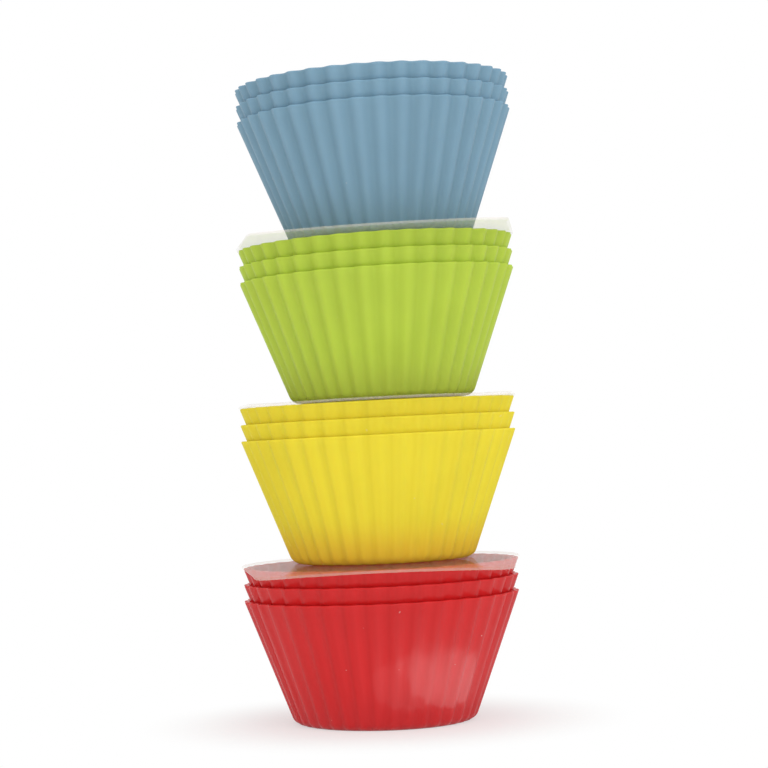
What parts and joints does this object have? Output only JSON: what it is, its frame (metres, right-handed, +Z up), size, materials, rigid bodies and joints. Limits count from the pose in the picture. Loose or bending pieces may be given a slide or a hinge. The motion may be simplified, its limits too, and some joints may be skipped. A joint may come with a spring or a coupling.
{
  "type": "stack of silicone baking cups",
  "caption": "Fluted silicone baking cups nested in coloured groups, which stand on one another with a thin clear disc between each two groups.",
  "frame": {"origin": "centre of the underside of the lowest cup's foot", "axes": "+Z up the stack, +X to the right and +Y to the back as the picture sees it"},
  "size_m": [0.0718, 0.0833, 0.163],
  "materials": {
    "red_silicone": "semi-gloss",
    "yellow_silicone": "satin",
    "green_silicone": "satin",
    "blue_silicone": "satin",
    "clear_sheet": "gloss"
  },
  "bodies": {
    "root": {"red_outer_cup": "red_silicone", "red_middle_cup": "red_silicone", "red_inner_cup": "red_silicone", "yellow_outer_cup": "yellow_silicone", "yellow_middle_cup": "yellow_silicone", "yellow_inner_cup": "yellow_silicone", "green_outer_cup": "green_silicone", "green_middle_cup": "green_silicone", "green_inner_cup": "green_silicone", "blue_outer_cup": "blue_silicone", "blue_middle_cup": "blue_silicone", "blue_inner_cup": "blue_silicone", "lower_disc": "clear_sheet", "middle_disc": "clear_sheet", "upper_disc": "clear_sheet"}
  },
  "joints": []
}
